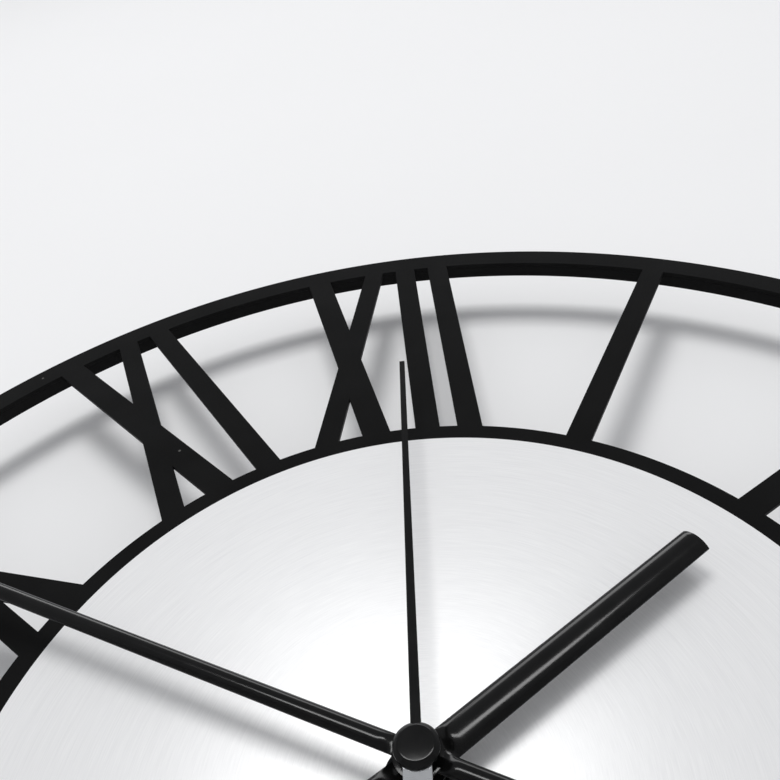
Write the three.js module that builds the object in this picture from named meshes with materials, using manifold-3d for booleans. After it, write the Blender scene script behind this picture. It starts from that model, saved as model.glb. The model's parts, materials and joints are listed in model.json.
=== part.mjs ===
// Open-faced wall clock with Roman numerals and a battery quartz movement.
// Millimetres. The clock is drawn lying flat: x to the right, y towards 12 o'clock and z forwards
// from the wall, with z = 0 on the movement's back. The last group stands it up, so that +Z is up
// and the dial faces -Y.
import * as THREE from 'three';
import { mergeVertices } from 'three/addons/utils/BufferGeometryUtils.js';
import Module from 'manifold-3d';

const wasm = await Module();
wasm.setup();

// ---- Driving dimensions ----

// Dial
const clockRadius = 175;
const bandWidth = 7.5;
const sheetThickness = 1.2;
const hoopDepth = 3.6;
const rimStrips = 8;
const webRadius = 89.4;
const discRadius = 84.2;
const discThickness = 0.5;
const filmThickness = 0.15;
const filmOverhang = 0.2;

// Numerals: strokes run from the outer band to the web
const strokeWidth = 6.2;
const strokeGap = 4.4;
const letterGap = 3.8;
const heavyStroke = 7.2;
const lightStroke = 5.9;
const diagonalTop = 18.4;
const crossFoot = 12.5;
const veeFoot = 3.0;
const strokeRoot = 4.0;

// Hands
const hourHand = { reach: 69.2, tail: 22, width: 6.4, tipWidth: 6, tailWidth: 8.4, rise: 1.5, hub: 4.6, angle: 57.2 };
const minuteHand = { reach: 125, tail: 30, width: 3.5, tipWidth: 3.2, tailWidth: 3.5, rise: 1.3, hub: 4.3, angle: -61.4 };
const secondHand = { reach: 102, tail: 36, tipWidth: 1.3, hubWidth: 1.8, tailWidth: 4.6, hub: 3.2, angle: 2.8 };
const secondHandThickness = 0.4;
const capRadius = 3.9;
const capHeight = 1.3;

// Movement case
const caseDepth = 16;
const wall = 1.5;
const frontWall = 1.2;
const coverThickness = 1.2;
const dividerThickness = 1.2;
const caseCorner = 3;
const gearBayTop = 26.5;
const gearBayBottom = -10.4;
const postRadius = 1.8;

// Battery, size AA
const batteryLength = 50.5;
const batteryRadius = 7.1;
const nubLength = 1.3;
const nubRadius = 2.7;
const contactRoom = 1.25;
const contactThickness = 0.4;
const contactSlotRoof = 4;

// Centre stack in front of the case
const bushRadius = 4;
const hangerThickness = 0.8;
const rubberThickness = 0.6;
const washerThickness = 0.5;
const washerRadius = 7;
const nutThickness = 2;
const nutAcrossFlats = 12;
const bushProud = 0.25;
const hourHandGap = 2.6;
const hourToMinute = 3.4;
const minuteToSecond = 2.3;

// Hanger
const hangerWidth = 20;
const hangerStandOff = 3;
const hangerReach = 15;
const hangerEye = 4.5;

// Gear train
const spindleRadius = 0.5;
const minuteTubeRadius = 1.72;
const hourTubeWall = 0.7;
const pivotRadius = 0.3;
const arborRadius = 0.6;
const wheelThickness = 0.8;
const setModule = 0.36;
const thirdModule = 0.25;
const fastModule = 0.33;
const setTeeth = { cannon: 12, wheel: 36, pinion: 10, hour: 40 };
const thirdTeeth = { seconds: 8, wheel: 60, pinion: 8, centre: 64 };
const fastTeeth = { rotor: 6, intermediate: 30, pinion: 6, seconds: 36 };
const setBearing = 170;
const thirdBearing = -10;
const rotorBearing = 50;
const knobRadius = 5.5;
const knobThickness = 2.4;
const wellWall = 1;

// Stepping motor
const magnetRadius = 2.4;
const statorHead = 4.3;
const statorThickness = 1;
const statorBar = 4.2;
const coilLength = 16.4;
const coilRadius = 3.9;
const flangeRadius = 4.2;
const coreWidth = 3;
const coreThickness = 1;

// Clearances
const clearance = 0.3;
const runningFit = 0.08;
const tubeFit = 0.1;

// How far a tube's end stays below the front of the hand pressed on it
const tubeRecess = 0.2;

// How far shapes that are joined into one piece run into each other
const sink = 0.2;

// The tubes turn inside one another, so each is sized from the one within it
const hourTubeBore = minuteTubeRadius + tubeFit;
const hourTubeRadius = hourTubeBore + hourTubeWall;

// ---- Levels along z, from the back of the case to the cap ----

const frontInside = caseDepth - frontWall;
const hangerTop = caseDepth + hangerThickness;
const sheetBack = hangerTop + rubberThickness;
const sheetFront = sheetBack + sheetThickness;
const discBack = sheetFront + filmThickness;
const discFront = discBack + discThickness;
const nutBack = discFront + washerThickness;
const nutFront = nutBack + nutThickness;
const bushTop = nutFront + bushProud;
const hourHandBack = bushTop + hourHandGap;
const minuteHandBack = hourHandBack + hourToMinute;
const secondHandBack = minuteHandBack + minuteToSecond;

// Levels inside the case
const knobBack = 0.3;
const knobFront = knobBack + knobThickness;
const wellFloor = knobFront + clearance;
const wellTop = wellFloor + wellWall;
const boardBack = coverThickness + 1;
const boardThickness = 0.8;
const secondsWheelBack = wellTop + 1;
const intermediateWheelBack = secondsWheelBack + 1.4;
const plateBack = intermediateWheelBack + wheelThickness + 0.8;
const plateThickness = 1;
const plateFront = plateBack + plateThickness;
const thirdWheelBack = plateFront + 0.4;
const centreWheelBack = thirdWheelBack + wheelThickness + 0.6;
const setWheelBack = centreWheelBack + wheelThickness + 0.3;
const hourWheelBack = setWheelBack + wheelThickness + 0.3;

// Battery bay and outer case walls
const bayTop = gearBayBottom - dividerThickness;
const bayHeight = 2 * batteryRadius + 1;
const bayBottom = bayTop - bayHeight;
const bayHalf = batteryLength / 2 + contactRoom;
const caseHalf = bayHalf + wall;
const caseTop = gearBayTop + wall;
const caseBottom = bayBottom - wall;
const batteryAxis = { y: (bayTop + bayBottom) / 2, z: frontInside - clearance - batteryRadius };

// Arbor places: each pair of gears sets its own centre distance
const setDistance = (setTeeth.cannon + setTeeth.wheel) / 2 * setModule;
const hourModule = 2 * setDistance / (setTeeth.pinion + setTeeth.hour);
const thirdDistance = (thirdTeeth.seconds + thirdTeeth.wheel) / 2 * thirdModule;
const centreModule = 2 * thirdDistance / (thirdTeeth.pinion + thirdTeeth.centre);
const secondsDistance = (fastTeeth.pinion + fastTeeth.seconds) / 2 * fastModule;
const rotorDistance = (fastTeeth.rotor + fastTeeth.intermediate) / 2 * fastModule;
const handAxis = new THREE.Vector2(0, 0);
const setArbor = polar(setDistance, setBearing);
const thirdArbor = polar(thirdDistance, thirdBearing);
const intermediateArbor = polar(secondsDistance, 90);
const rotorArbor = intermediateArbor.clone().add(polar(rotorDistance, rotorBearing));
const coilAxis = { y: gearBayTop - flangeRadius - 1.3, z: wellTop + 0.2 + statorThickness + coreThickness / 2 };

// ---- Materials ----

function finish(colour, roughness, metalness) {
  return new THREE.MeshStandardMaterial({ color: colour, roughness, metalness });
}

const blackPowderCoat = () => finish(0x232324, 0.6, 0.1);
const brushedAluminium = () => finish(0xdcdcdc, 0.32, 0.9);
const glossBlack = () => finish(0x121213, 0.22, 0.2);
const brass = () => finish(0xc9a35a, 0.35, 1.0);
const steel = () => finish(0xb9bbbd, 0.35, 1.0);
const blackSteel = () => finish(0x202123, 0.4, 0.6);
const blackPlastic = () => finish(0x1c1c1e, 0.5, 0.0);
const whiteNylon = () => finish(0xe9e7df, 0.5, 0.0);
const blackRubber = () => finish(0x1a1a1a, 0.85, 0.0);
const copper = () => finish(0xb8713c, 0.35, 0.9);
const greenBoard = () => finish(0x2f6b3f, 0.5, 0.0);
const adhesive = () => finish(0xb98a52, 0.7, 0.0);
const ferrite = () => finish(0x3a3a3d, 0.6, 0.3);
const batteryJacket = () => finish(0x2d5f8a, 0.4, 0.4);

// ---- Solids ----

function polar(radius, degrees) {
  const angle = THREE.MathUtils.degToRad(degrees);
  return new THREE.Vector2(radius * Math.cos(angle), radius * Math.sin(angle));
}

function solid(geometry) {
  const bare = geometry.clone();
  bare.deleteAttribute('normal');
  bare.deleteAttribute('uv');
  const merged = mergeVertices(bare, 1e-4);
  const mesh = new wasm.Mesh({
    numProp: 3,
    vertProperties: new Float32Array(merged.attributes.position.array),
    triVerts: new Uint32Array(merged.index.array),
  });
  return new wasm.Manifold(mesh);
}

function geometryOf(body) {
  const mesh = body.getMesh();
  const geometry = new THREE.BufferGeometry();
  geometry.setAttribute('position', new THREE.BufferAttribute(mesh.vertProperties, 3));
  geometry.setIndex(new THREE.BufferAttribute(mesh.triVerts, 1));
  geometry.computeVertexNormals();
  return geometry;
}

function join(first, ...others) {
  return others.reduce((whole, other) => whole.add(other), first);
}

function cut(first, ...others) {
  return others.reduce((whole, other) => whole.subtract(other), first);
}

// A shape turned about a line along z through (place.x, place.y). The profile is a closed loop of
// [radius, z] points, anticlockwise with the radius to the right and z up.
function turned(profile, segments, place = handAxis) {
  const points = [...profile, profile[0]].map(([radius, z]) => new THREE.Vector2(radius, z));
  const geometry = new THREE.LatheGeometry(points, segments);
  geometry.rotateX(Math.PI / 2);
  geometry.translate(place.x, place.y, 0);
  return solid(geometry);
}

function rod(radius, z0, z1, place = handAxis, segments = 16) {
  return turned([[0, z0], [radius, z0], [radius, z1], [0, z1]], segments, place);
}

function ring(inner, outer, z0, z1, place = handAxis, segments = 32) {
  return turned([[inner, z0], [outer, z0], [outer, z1], [inner, z1]], segments, place);
}

// A large flat disc with a small central hole
function holedDisc(inner, outer, z0, z1, segments) {
  return cut(rod(outer, z0, z1, handAxis, segments), rod(inner, z0 - 1, z1 + 1, handAxis, 32));
}

function slab(shape, z0, z1, curveSegments = 6) {
  const geometry = new THREE.ExtrudeGeometry(shape, { depth: z1 - z0, bevelEnabled: false, curveSegments });
  geometry.translate(0, 0, z0);
  return solid(geometry);
}

function box(x0, x1, y0, y1, z0, z1) {
  const geometry = new THREE.BoxGeometry(x1 - x0, y1 - y0, z1 - z0);
  geometry.translate((x0 + x1) / 2, (y0 + y1) / 2, (z0 + z1) / 2);
  return solid(geometry);
}

function roundedRectangle(x0, x1, y0, y1, corner) {
  const quarter = Math.PI / 2;
  const shape = new THREE.Shape();
  shape.absarc(x1 - corner, y1 - corner, corner, 0, quarter);
  shape.absarc(x0 + corner, y1 - corner, corner, quarter, 2 * quarter);
  shape.absarc(x0 + corner, y0 + corner, corner, 2 * quarter, 3 * quarter);
  shape.absarc(x1 - corner, y0 + corner, corner, 3 * quarter, 4 * quarter);
  shape.closePath();
  return shape;
}

// ---- Gears ----

// A toothed disc. Wheel teeth are pointed and stand a full module above the pitch circle; pinion
// leaves are thinner, with a lower tip and a deeper root. One tooth points along the bearing.
function gear(teeth, module, kind, z0, z1, place, bearing) {
  const pitch = teeth * module / 2;
  const form = {
    wheel: { tip: 0.95, root: 1.15, tipWidth: 0.16, rootWidth: 0.5 },
    pinion: { tip: 0.7, root: 1.3, tipWidth: 0.14, rootWidth: 0.34 },
  }[kind];
  const toothAngle = 2 * Math.PI / teeth;
  const start = THREE.MathUtils.degToRad(bearing);
  const points = [];
  for (let tooth = 0; tooth < teeth; tooth += 1) {
    const middle = start + tooth * toothAngle;
    const corners = [
      [pitch - form.root * module, -form.rootWidth],
      [pitch + form.tip * module, -form.tipWidth],
      [pitch + form.tip * module, form.tipWidth],
      [pitch - form.root * module, form.rootWidth],
    ];
    for (const [radius, share] of corners) {
      const angle = middle + share * toothAngle / 2;
      points.push(new THREE.Vector2(place.x + radius * Math.cos(angle), place.y + radius * Math.sin(angle)));
    }
  }
  return slab(new THREE.Shape(points), z0, z1);
}

// The bearing that puts a gap, not a tooth, on the line from one gear to its mate
function gapBearing(teeth, towards) {
  return towards + 180 / teeth;
}

// ---- Numerals ----

const bandInner = clockRadius - bandWidth;

// One stroke of a letter: its middle is at xTop on the band's inner edge and xFoot on the web's edge
function stroke(xTop, xFoot, width) {
  const slope = (xTop - xFoot) / (bandInner - webRadius);
  const high = bandInner + bandWidth / 2;
  const low = webRadius - strokeRoot;
  const xHigh = xTop + slope * (high - bandInner);
  const xLow = xFoot - slope * strokeRoot;
  return new THREE.Shape([
    new THREE.Vector2(xLow - width / 2, low),
    new THREE.Vector2(xLow + width / 2, low),
    new THREE.Vector2(xHigh + width / 2, high),
    new THREE.Vector2(xHigh - width / 2, high),
  ]);
}

// Each letter gives its width and its strokes about its own middle
const letters = {
  I: { width: strokeWidth, strokes: [[0, 0, strokeWidth]] },
  V: {
    width: diagonalTop + (heavyStroke + lightStroke) / 2,
    strokes: [
      [-diagonalTop / 2, -veeFoot / 2, heavyStroke],
      [diagonalTop / 2, veeFoot / 2, lightStroke],
    ],
  },
  X: {
    width: diagonalTop + (heavyStroke + lightStroke) / 2,
    strokes: [
      [-diagonalTop / 2, crossFoot / 2, heavyStroke],
      [diagonalTop / 2, -crossFoot / 2, lightStroke],
    ],
  },
};

function numeralStrokes(text) {
  const parts = [];
  let edge = 0;
  let before = '';
  for (const name of text) {
    if (before !== '') {
      edge += before === 'I' && name === 'I' ? strokeGap : letterGap;
    }
    const letter = letters[name];
    for (const [top, foot, width] of letter.strokes) {
      parts.push([edge + letter.width / 2 + top, edge + letter.width / 2 + foot, width]);
    }
    edge += letter.width;
    before = name;
  }
  return parts.map(([top, foot, width]) => stroke(top - edge / 2, foot - edge / 2, width));
}

// ---- Dial ----

const hub = bushRadius + clearance;
const dialSegments = 144;

function numeralRing() {
  const numerals = ['I', 'II', 'III', 'IIII', 'V', 'VI', 'VII', 'VIII', 'IX', 'X', 'XI', 'XII'];
  let sheet = join(
    ring(bandInner, clockRadius, sheetBack, sheetFront, handAxis, dialSegments),
    holedDisc(hub, webRadius, sheetBack, sheetFront, dialSegments),
  );
  numerals.forEach((text, index) => {
    for (const shape of numeralStrokes(text)) {
      sheet = sheet.add(slab(shape, sheetBack, sheetFront).rotate([0, 0, -30 * (index + 1)]));
    }
  });
  return sheet;
}

// The rim behind the band is rolled from equal lengths of strip that meet end to end
function rimStrip(index) {
  const length = 2 * Math.PI / rimStrips;
  const start = Math.PI / 2 - index * length;
  const shape = new THREE.Shape();
  shape.absarc(0, 0, clockRadius, start, start - length, true);
  shape.absarc(0, 0, bandInner, start - length, start, false);
  shape.closePath();
  const arcSteps = dialSegments / rimStrips;
  return slab(shape, sheetBack - hoopDepth, sheetBack, arcSteps / 2);
}

// ---- Hands ----

// A half-round bar along y whose width changes evenly from its low end to its high end
function halfRoundBar(low, high, rise, back) {
  const half = low.width / 2;
  const curve = (half * half + rise * rise) / (2 * rise);
  const sweep = Math.asin(half / curve);
  const section = new THREE.Shape();
  section.moveTo(-half, 0);
  section.lineTo(half, 0);
  section.absarc(0, rise - curve, curve, Math.PI / 2 - sweep, Math.PI / 2 + sweep);
  section.closePath();
  const bar = new THREE.ExtrudeGeometry(section, {
    depth: high.y - low.y,
    bevelEnabled: false,
    curveSegments: 8,
  });
  // The section is drawn with its rise along y and extruded along z: turn it to rise along z. The
  // end it was drawn on becomes the high end.
  const corners = bar.attributes.position;
  for (let index = 0; index < corners.count; index += 1) {
    if (corners.getZ(index) === 0) {
      corners.setX(index, corners.getX(index) * high.width / low.width);
    }
  }
  bar.rotateX(Math.PI / 2);
  bar.translate(0, high.y, back);
  return solid(bar);
}

// A pressed hand: a half-round rib, wider behind the hub, with a round hub and a bore for its tube
function roundBackedHand(hand, back, bore) {
  const middle = { y: 0, width: hand.width };
  const rib = halfRoundBar(middle, { y: hand.reach, width: hand.tipWidth }, hand.rise, back);
  const tail = halfRoundBar({ y: -hand.tail, width: hand.tailWidth }, { y: sink, width: hand.width }, hand.rise, back);
  const boss = rod(hand.hub, back, back + hand.rise, handAxis, 32);
  const hole = rod(bore, back - 1, back + hand.rise + 1, handAxis, 24);
  return cut(join(rib, tail, boss), hole).rotate([0, 0, -hand.angle]);
}

function secondHandBlade() {
  const { reach, tail, tipWidth, hubWidth, tailWidth, angle } = secondHand;
  const outline = new THREE.Shape([
    new THREE.Vector2(-tipWidth / 2, reach),
    new THREE.Vector2(-hubWidth / 2, 0),
    new THREE.Vector2(-tailWidth / 2, 0),
    new THREE.Vector2(-tailWidth / 2, -tail),
    new THREE.Vector2(tailWidth / 2, -tail),
    new THREE.Vector2(tailWidth / 2, 0),
    new THREE.Vector2(hubWidth / 2, 0),
    new THREE.Vector2(tipWidth / 2, reach),
  ]);
  const top = secondHandBack + secondHandThickness;
  const blade = join(slab(outline, secondHandBack, top), rod(secondHand.hub, secondHandBack, top));
  const hole = rod(secondTubeOuter + clearance, secondHandBack - 1, top + 1);
  return cut(blade, hole).rotate([0, 0, -angle]);
}

const secondTubeBore = spindleRadius + clearance;
const secondTubeOuter = secondTubeBore + 0.3;

function hubCap() {
  const base = secondHandBack + secondHandThickness;
  const curve = (capRadius * capRadius + capHeight * capHeight) / (2 * capHeight);
  const sweep = Math.asin(capRadius / curve);
  const steps = 6;
  const profile = [[0, base]];
  for (let step = 0; step <= steps; step += 1) {
    const angle = sweep * (1 - step / steps);
    profile.push([curve * Math.sin(angle), base + capHeight - curve * (1 - Math.cos(angle))]);
  }
  return turned(profile, 32);
}

// ---- Movement case ----

const postPlaces = [-1, 1].flatMap((side) => [
  new THREE.Vector2(side * (bayHalf - postRadius), gearBayBottom + postRadius),
  new THREE.Vector2(side * (bayHalf - postRadius), gearBayTop - postRadius),
]);
const plateHalf = bayHalf - clearance;
const plateTop = coilAxis.y - flangeRadius - 0.6;
const platePosts = [-1, 1].flatMap((side) => [
  new THREE.Vector2(side * (bayHalf - 3 * postRadius), gearBayBottom + 2 * postRadius),
  new THREE.Vector2(side * (bayHalf - 3 * postRadius), plateTop - 1.5 * postRadius),
]);
const thirdBossRadius = pivotRadius + 0.65;
const hourTip = (setTeeth.hour / 2 + 1) * hourModule;

function frontCase() {
  const outline = roundedRectangle(-caseHalf, caseHalf, caseBottom, caseTop, caseCorner);
  const inner = caseCorner - wall;
  const gearBay = roundedRectangle(-bayHalf, bayHalf, gearBayBottom, gearBayTop, inner);
  const batteryBay = roundedRectangle(-bayHalf, bayHalf, bayBottom, bayTop, inner);
  let shell = cut(
    slab(outline, 0, caseDepth),
    slab(gearBay, -1, frontInside),
    slab(batteryBay, -1, frontInside),
  );
  for (const place of postPlaces) {
    shell = shell.add(rod(postRadius + sink, coverThickness, frontInside + sink, place));
  }
  for (const place of platePosts) {
    shell = shell.add(rod(postRadius, plateFront, frontInside + sink, place));
  }
  const thirdBoss = rod(thirdBossRadius, hourWheelBack - 0.5, frontInside + sink, thirdArbor);
  const slotLength = contactRoom + 1;
  const contactSlot = (x0) => box(
    x0, x0 + slotLength, bayTop - 1, gearBayBottom + 1, -1, frontInside - contactSlotRoof,
  );
  return cut(
    shell.add(thirdBoss),
    contactSlot(-bayHalf),
    contactSlot(bayHalf - slotLength),
    rod(hub, frontInside - 1, caseDepth + 1, handAxis, 32),
    rod(pivotRadius + runningFit, hourWheelBack - 1, frontInside - 0.5, thirdArbor),
    rod(arborRadius + runningFit, frontInside - 1, frontInside + frontWall / 2, setArbor),
  );
}

function rearCover() {
  const edge = clearance;
  const outline = roundedRectangle(
    -bayHalf + edge, bayHalf - edge, gearBayBottom + edge, gearBayTop - edge, caseCorner - wall,
  );
  const wellInner = knobRadius + 1.1;
  const wellOuter = wellInner + wellWall;
  const bossRadius = pivotRadius + 0.9;
  const standoffs = [
    new THREE.Vector2(boardLeft + 2, boardBottom + 2),
    new THREE.Vector2(boardRight - 2, boardBottom + 2),
    new THREE.Vector2(boardRight - 2, boardTop - 2),
  ].map((place) => rod(1.2, 0.6, boardBack, place, 16));
  const boss = (place, top) => rod(bossRadius, 0.6, top, place, 16);
  const pivotHole = (place, top) => rod(pivotRadius + runningFit, 1, top + 1, place, 16);
  const plate = join(
    slab(outline, 0, coverThickness),
    rod(wellOuter, 0.2, wellTop, setArbor, 28),
    boss(handAxis, spindleRest),
    boss(intermediateArbor, intermediateRest),
    boss(rotorArbor, rotorRest),
    ...standoffs,
  );
  return cut(
    plate,
    rod(wellInner, -1, wellFloor, setArbor, 28),
    rod(setShaftRadius + clearance, wellFloor - 1, wellTop + 1, setArbor),
    pivotHole(handAxis, spindleRest),
    rod(spindleRadius + clearance, spindleRest, wellTop + 1, handAxis, 16),
    pivotHole(intermediateArbor, intermediateRest),
    pivotHole(rotorArbor, rotorRest),
  );
}

// Tops of the rear cover's bearing bosses
const spindleRest = coverThickness + 1.6;
const intermediateRest = secondsWheelBack - 1.6;
const rotorRest = coverThickness + 1.6;
const setShaftRadius = 0.7;

function middlePlate() {
  const shape = roundedRectangle(-plateHalf, plateHalf, gearBayBottom + clearance, plateTop, 1.2);
  const hole = (place, radius) => rod(radius, plateBack - 1, plateFront + 1, place, 20);
  const corners = postPlaces.map((place) => hole(place, postRadius + sink + clearance));
  return cut(
    slab(shape, plateBack, plateFront),
    hole(handAxis, 1.6),
    hole(setArbor, setShaftRadius + clearance),
    hole(thirdArbor, pivotRadius + runningFit),
    hole(intermediateArbor, pivotRadius + runningFit),
    hole(rotorArbor, pivotRadius + runningFit),
    ...corners,
  );
}

function threadedBush() {
  const bore = hourTubeRadius + runningFit;
  return turned([
    [bore, frontInside - 0.8],
    [bushRadius + 2, frontInside - 0.8],
    [bushRadius + 2, frontInside],
    [bushRadius, frontInside],
    [bushRadius, bushTop],
    [bore, bushTop],
  ], 32);
}

function hexNut() {
  const radius = nutAcrossFlats / Math.sqrt(3);
  const corners = Array.from({ length: 6 }, (_, index) => polar(radius, 60 * index));
  return cut(slab(new THREE.Shape(corners), nutBack, nutFront), rod(hub, nutBack - 1, nutFront + 1, handAxis, 32));
}

// A strip with a front leg round the bush, a bend back past the case's top and an eye for the nail
function hangerPlate() {
  const bend = caseTop + clearance;
  const foot = -hangerWidth / 2;
  const sideView = [
    [foot, caseDepth],
    [bend, caseDepth],
    [bend, hangerStandOff],
    [bend + hangerReach, hangerStandOff],
    [bend + hangerReach, hangerStandOff + hangerThickness],
    [bend + hangerThickness, hangerStandOff + hangerThickness],
    [bend + hangerThickness, hangerTop],
    [foot, hangerTop],
  ].map(([y, z]) => new THREE.Vector2(-z, y));
  const strip = slab(new THREE.Shape(sideView), -hangerWidth / 2, hangerWidth / 2).rotate([0, 90, 0]);
  const eyeMiddle = new THREE.Vector2(0, bend + (hangerReach + hangerThickness) / 2);
  return cut(
    strip,
    rod(hub, caseDepth - 1, hangerTop + 1, handAxis, 32),
    rod(hangerEye, hangerStandOff - 1, hangerStandOff + hangerThickness + 1, eyeMiddle, 32),
  );
}

// ---- Gear train ----

// The seconds spindle: rear pivot, wheel driven by the intermediate pinion, pinion for the third wheel
function secondsWheel() {
  const { seconds } = fastTeeth;
  const wheelFront = secondsWheelBack + wheelThickness;
  const tip = secondHandBack + secondHandThickness - clearance;
  return join(
    rod(pivotRadius, 1.5, spindleRest + 0.3, handAxis, 16),
    rod(spindleRadius, spindleRest + sink, tip, handAxis, 16),
    rod(1.2, secondsWheelBack - 0.4, wheelFront + 0.4, handAxis, 16),
    gear(seconds, fastModule, 'wheel', secondsWheelBack, wheelFront, handAxis, 90),
    gear(thirdTeeth.seconds, thirdModule, 'pinion', plateFront + 0.2, centreWheelBack - 0.4, handAxis,
      gapBearing(thirdTeeth.seconds, thirdBearing)),
  );
}

function intermediateWheel() {
  const place = intermediateArbor;
  const front = intermediateWheelBack + wheelThickness;
  return join(
    rod(pivotRadius, intermediateRest - 1, plateFront - 0.2, place, 16),
    rod(arborRadius, intermediateRest + sink, front + 0.4, place, 16),
    gear(fastTeeth.pinion, fastModule, 'pinion', secondsWheelBack - 0.4, intermediateWheelBack + sink, place,
      gapBearing(fastTeeth.pinion, -90)),
    gear(fastTeeth.intermediate, fastModule, 'wheel', intermediateWheelBack, front, place, rotorBearing),
  );
}

const magnetBack = rotorRest + 0.6;
const magnetFront = intermediateWheelBack - 0.4;

function rotorShaft() {
  return join(
    rod(pivotRadius, rotorRest - 1, plateFront - 0.2, rotorArbor, 16),
    rod(arborRadius, rotorRest + sink, magnetFront + sink, rotorArbor, 16),
    gear(fastTeeth.rotor, fastModule, 'pinion', magnetFront, intermediateWheelBack + wheelThickness + 0.2,
      rotorArbor, gapBearing(fastTeeth.rotor, rotorBearing + 180)),
  );
}

function thirdWheel() {
  const place = thirdArbor;
  const front = thirdWheelBack + wheelThickness;
  const pinionFront = centreWheelBack + wheelThickness + 0.2;
  return join(
    rod(pivotRadius, plateBack + 0.1, hourWheelBack + 0.4, place, 16),
    rod(arborRadius, thirdWheelBack - 0.2, hourWheelBack - 0.7, place, 16),
    gear(thirdTeeth.wheel, thirdModule, 'wheel', thirdWheelBack, front, place, thirdBearing + 180),
    gear(thirdTeeth.pinion, centreModule, 'pinion', front - 0.1, pinionFront, place,
      gapBearing(thirdTeeth.pinion, thirdBearing + 180)),
  );
}

// Turns the minute tube through a slipping fit, so that the hands can be set
function centreWheel() {
  const front = centreWheelBack + wheelThickness;
  const bore = rod(minuteTubeRadius + runningFit, centreWheelBack - 1, front + 1, handAxis, 24);
  const toothed = gear(thirdTeeth.centre, centreModule, 'wheel', centreWheelBack, front, handAxis, thirdBearing);
  return cut(toothed, bore);
}

// A journal for the centre wheel, a bare cannon pinion beside the setting wheel's teeth, then the long tube
function minuteTube() {
  const top = minuteHandBack + minuteHand.rise - tubeRecess;
  const pinionBack = setWheelBack - 0.15;
  const pinionFront = hourWheelBack - 0.15;
  const journal = rod(minuteTubeRadius, centreWheelBack - 0.2, pinionBack + 0.05, handAxis, 24);
  const tube = rod(minuteTubeRadius, pinionFront - 0.05, top, handAxis, 24);
  const pinion = gear(setTeeth.cannon, setModule, 'pinion', pinionBack, pinionFront, handAxis,
    gapBearing(setTeeth.cannon, setBearing));
  return cut(join(journal, pinion, tube), rod(spindleRadius + tubeFit, centreWheelBack - 1, top + 1, handAxis, 24));
}

function hourWheel() {
  const front = hourWheelBack + wheelThickness;
  const top = hourHandBack + hourHand.rise - tubeRecess;
  const bore = rod(hourTubeBore, hourWheelBack - 1, top + 1, handAxis, 24);
  return cut(join(
    gear(setTeeth.hour, hourModule, 'wheel', hourWheelBack, front, handAxis, setBearing),
    rod(hourTubeRadius, hourWheelBack, top, handAxis, 24),
  ), bore);
}

function setWheel() {
  const place = setArbor;
  const front = setWheelBack + wheelThickness;
  return join(
    rod(setShaftRadius, knobFront, setWheelBack + sink, place),
    rod(arborRadius, front, frontInside + frontWall / 4, place),
    gear(setTeeth.wheel, setModule, 'wheel', setWheelBack, front, place, setBearing + 180),
    gear(setTeeth.pinion, hourModule, 'pinion', front - 0.1, hourWheelBack + wheelThickness + 0.1, place,
      gapBearing(setTeeth.pinion, setBearing + 180)),
  );
}

// A knurled thumb wheel with a screwdriver slot
function settingKnob() {
  const ridges = 24;
  const points = Array.from({ length: 2 * ridges }, (_, index) => {
    const radius = index % 2 === 0 ? knobRadius : knobRadius - 0.5;
    return polar(radius, index * 180 / ridges).add(setArbor);
  });
  const slot = box(
    setArbor.x - 3, setArbor.x + 3, setArbor.y - 0.5, setArbor.y + 0.5, knobBack - 1, knobBack + 1,
  );
  return cut(slab(new THREE.Shape(points), knobBack, knobFront), slot);
}

// ---- Motor ----

const coilMiddle = 5;
const legHalf = coilLength / 2 + 3;
const legWidth = 4;
const coreBack = coilAxis.z - coreThickness / 2;
const statorBack = coreBack - statorThickness;

function stator() {
  const left = coilMiddle - legHalf - legWidth / 2;
  const right = coilMiddle + legHalf + legWidth / 2;
  const low = rotorArbor.y - statorBar / 2;
  const high = rotorArbor.y + statorBar / 2;
  const top = coilAxis.y + coreWidth / 2;
  return cut(join(
    box(left, right, low, high, statorBack, coreBack),
    box(left, left + legWidth, low, top, statorBack, coreBack),
    box(right - legWidth, right, low, top, statorBack, coreBack),
    rod(statorHead, statorBack, coreBack, rotorArbor, 32),
  ), rod(magnetRadius + 0.4, statorBack - 1, coreBack + 1, rotorArbor, 32));
}

function coilCore() {
  return box(
    coilMiddle - legHalf - legWidth / 2, coilMiddle + legHalf + legWidth / 2,
    coilAxis.y - coreWidth / 2, coilAxis.y + coreWidth / 2, coreBack, coreBack + coreThickness,
  );
}

// Turned about the coil's own axis, which lies along x
function alongCoil(profile, segments) {
  return turned(profile, segments).rotate([0, 90, 0]).translate([coilMiddle, coilAxis.y, coilAxis.z]);
}

const barrelRadius = Math.hypot(coreWidth / 2, coreThickness / 2) + 2 * clearance;

function coilBobbin() {
  const half = coilLength / 2;
  const flange = 1;
  const spool = alongCoil([
    [0, -half], [flangeRadius, -half], [flangeRadius, flange - half], [barrelRadius, flange - half],
    [barrelRadius, half - flange], [flangeRadius, half - flange], [flangeRadius, half], [0, half],
  ], 24);
  const window = box(
    coilMiddle - half - 1, coilMiddle + half + 1,
    coilAxis.y - coreWidth / 2 - clearance / 2, coilAxis.y + coreWidth / 2 + clearance / 2,
    coreBack - clearance / 2, coreBack + coreThickness + clearance / 2,
  );
  return cut(spool, window);
}

function coilWinding() {
  const half = coilLength / 2 - 1;
  const inner = barrelRadius + 0.1;
  return alongCoil([[inner, -half], [coilRadius, -half], [coilRadius, half], [inner, half]], 24);
}

// ---- Electronics ----

const boardLeft = thirdArbor.x + 2.6;
const boardRight = postPlaces[2].x - postRadius - 0.8;
const boardBottom = gearBayBottom + 1.2;
const boardTop = rotorArbor.y - statorHead + 0.2;
const boardFront = boardBack + boardThickness;

function circuitBoard() {
  return box(boardLeft, boardRight, boardBottom, boardTop, boardBack, boardFront);
}

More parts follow.
